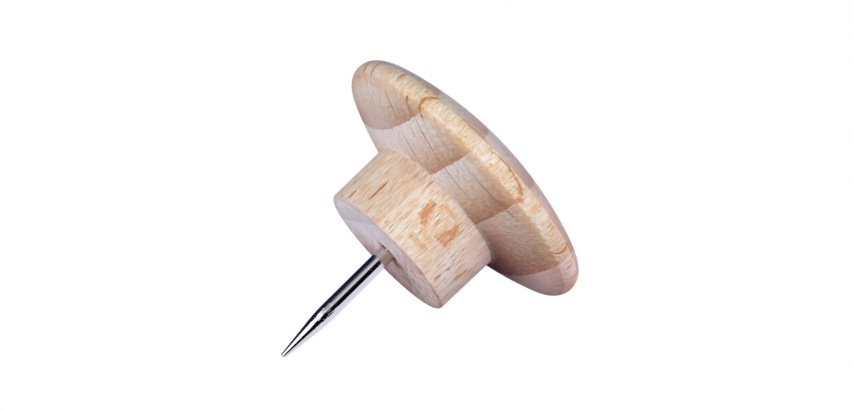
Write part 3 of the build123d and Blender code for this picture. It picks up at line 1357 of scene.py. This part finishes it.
@dataclass
class Studio:
    """Pale floor, white surroundings, soft lamps and the cards that the steel mirrors."""

    floor_size: float = 900.0
    floor_colour: Colour = srgb(244, 243, 241)
    floor_glow: float = 0.36
    floor_fade: Range = (22.0, 75.0)
    ambient: Colour = (0.9, 0.92, 1.0, 1.0)
    ambient_strength: float = 0.008
    surround: Colour = srgb(228, 226, 240)
    white: Colour = (1.0, 1.0, 1.0, 1.0)

    def lamps(self) -> list[Lamp]:
        """Lists the lamps."""
        return [
            Lamp("key_lamp", (0.12, -0.94, 0.25), 260.0, 150.0, 0.45, (0.817, 1.0, 0.97)),
            Lamp("right_lamp", (0.83, -0.52, 0.17), 260.0, 150.0, 0.262, (0.87, 0.62, 0.98)),
            Lamp("top_lamp", (0.0, -0.6, 0.8), 260.0, 150.0, 0.076, (1.0, 0.85, 0.97)),
            Lamp("left_lamp", (-0.74, -0.5, -0.45), 70.0, 45.0, 0.0086, (0.88, 0.79, 1.0)),
            Lamp("low_lamp", (-0.42, -0.42, -0.81), 70.0, 52.0, 0.0239, (0.9, 0.93, 1.0)),
            Lamp("low_side_lamp", (-0.56, -0.04, -0.83), 70.0, 52.0, 0.0191, (0.9, 0.93, 1.0)),
            Lamp("back_lamp", (0.05, 0.9, 0.45), 260.0, 200.0, 0.68, (1.0, 0.98, 0.95)),
        ]

    def cards(self) -> list[ReflectionCard]:
        """Lists the cards, by angle in degrees from the front, positive to the right."""
        return [
            ReflectionCard("front_flag", -8.0, 46.0, -60.0, 70.0, srgb(10, 8, 12)),
            ReflectionCard("left_flag", -180.0, -70.0, -60.0, 70.0, srgb(28, 28, 62)),
            ReflectionCard("left_dark", -70.0, -58.0, 2.0, 70.0, srgb(92, 92, 108)),
            ReflectionCard("left_dusk", -58.0, -42.0, 2.0, 70.0, srgb(150, 150, 150)),
            ReflectionCard("left_screen", -42.0, -14.0, 2.0, 70.0, srgb(212, 214, 204)),
            ReflectionCard("left_edge", -14.0, -8.0, 2.0, 70.0, srgb(130, 128, 124)),
            ReflectionCard("low_edge", -70.0, -8.0, -4.0, 2.0, (0.82, 0.82, 0.8, 1.0)),
            ReflectionCard("low_screen", -70.0, -8.0, -60.0, -4.0, (1.3, 1.3, 1.35, 1.0)),
        ]

    def floor(self) -> bpy.types.Object:
        """Lays the floor under the pin's tip. It is seen only from above, so low views keep a clear sight.

        It keeps the shadow near the pin, lifted to near white for the camera, and fades to white farther
        out.

        Returns:
            The floor's object.
        """
        side = np.array([-1.0, 1.0]) * self.floor_size / 2
        x, y = np.meshgrid(side, side)
        points = np.stack([x, y, np.full_like(x, CAD_BOX[0].z / MM)], axis=-1).reshape(-1, 3)
        floor = new_object("floor", points, [[0, 1, 3, 2]])
        material, bench = new_material("floor")
        away = bench.vector("LENGTH", bench.millimetres())
        seen = bench.add("ShaderNodeLightPath").outputs["Is Camera Ray"]
        below = bench.add("ShaderNodeNewGeometry").outputs["Backfacing"]
        matt = bench.add("ShaderNodeBsdfDiffuse", {"Color": self.floor_colour}).outputs[0]
        lift = bench.add("ShaderNodeEmission", {"Strength": bench.times(seen, self.floor_glow)}).outputs[0]
        near = bench.add("ShaderNodeAddShader", {0: matt, 1: lift}).outputs[0]
        white = bench.add("ShaderNodeEmission", {"Strength": seen}).outputs[0]
        fade = bench.spread(away, *self.floor_fade)
        laid = bench.add("ShaderNodeMixShader", {0: fade, 1: near, 2: white}).outputs[0]
        clear = bench.add("ShaderNodeBsdfTransparent").outputs[0]
        bench.surface(bench.add("ShaderNodeMixShader", {0: below, 1: laid, 2: clear}).outputs[0])
        floor.data.materials.append(material)
        hide_from(floor, "shadow", "diffuse", "glossy")
        return floor

    def world(self) -> None:
        """Sets the surroundings: white to the camera, pale to shiny surfaces, soft light to the rest."""
        world = bpy.data.worlds.new("studio")
        world.use_nodes = True
        world.node_tree.nodes.clear()
        bench = NodeBench(world.node_tree)
        path = bench.add("ShaderNodeLightPath").outputs
        lights = ((self.ambient, self.ambient_strength), (self.surround, 1.0), (self.white, 1.0))
        ambient, pale, white = (
            bench.add("ShaderNodeBackground", {"Color": colour, "Strength": strength}).outputs[0]
            for colour, strength in lights
        )
        shiny = bench.math("MAXIMUM", path["Is Glossy Ray"], path["Is Transmission Ray"])
        lit = bench.add("ShaderNodeMixShader", {0: shiny, 1: ambient, 2: pale}).outputs[0]
        seen = bench.add("ShaderNodeMixShader", {0: path["Is Camera Ray"], 1: lit, 2: white}).outputs[0]
        bench.surface(seen, "ShaderNodeOutputWorld")
        bpy.context.scene.world = world

    def build(self) -> None:
        """Sets up the surroundings, floor, lamps and cards."""
        target = Vector((0.0, 0.0, (CAD_BOX[0].z + CAD_BOX[1].z) / 2))
        self.world()
        self.floor()
        for lamp in self.lamps():
            lamp.build(target)
        for card in self.cards():
            card.build()
        bpy.context.scene.view_settings.view_transform = "Standard"


@dataclass(frozen=True)
class PhotoCamera:
    """Camera at the photograph's viewing angle, found by fitting the head's outline."""

    image_width: int = 854
    image_height: int = 410
    origin_pixel: Pair = (386.08, 253.29)
    tilt: float = 11.52
    roll: float = 43.594
    distance: float = 128.25
    millimetres_per_pixel: float = 0.06761
    sensor_width: float = 36.0
    clip_start: float = 0.001
    clip_end: float = 10.0

    def build(self) -> bpy.types.Object:
        """Places the camera.

        It looks from the front and from below the hub's end face by the tilt, and turns about its sight
        line by the roll, so that the pin points to the lower left. It stands beside the origin by as much
        as the origin's pixel lies from the middle of the image.

        Returns:
            The camera's object.
        """
        tilt, roll = math.radians(self.tilt), math.radians(self.roll)
        right = Vector((1.0, 0.0, 0.0))
        axis_up = Vector((0.0, -math.sin(tilt), math.cos(tilt)))
        back = Vector((0.0, -math.cos(tilt), -math.sin(tilt)))
        image_right = axis_up * math.cos(roll) + right * math.sin(roll)
        image_up = axis_up * math.sin(roll) - right * math.cos(roll)
        off_right = (self.image_width / 2 - self.origin_pixel[0]) * self.millimetres_per_pixel
        off_up = (self.origin_pixel[1] - self.image_height / 2) * self.millimetres_per_pixel
        place = (image_right * off_right + image_up * off_up + back * self.distance) * MM
        turn = Matrix((image_right, image_up, back)).transposed().to_4x4()

        data = bpy.data.cameras.new("photo_camera")
        data.sensor_width = self.sensor_width
        data.lens = self.sensor_width * self.distance / (self.image_width * self.millimetres_per_pixel)
        data.clip_start = self.clip_start
        data.clip_end = self.clip_end
        camera = bpy.data.objects.new("photo_camera", data)
        camera.matrix_world = Matrix.Translation(place) @ turn
        bpy.context.scene.collection.objects.link(camera)
        bpy.context.scene.camera = camera
        return camera


def main() -> None:
    """Builds the camera, the pieces and the studio in order, and reports each piece."""
    logging.basicConfig(level=logging.INFO, format="%(name)s: %(message)s")
    PhotoCamera().build()
    for maker in (TurnedHead(), SteelPin()):
        piece = maker.build()
        maker.dress(piece)
        log.info("%s: %d points", piece.name, len(piece.data.vertices))
    log.info("%s: CAD solid dressed", GlueFilling().dress().name)
    Studio().build()


if __name__ == "__main__":
    main()
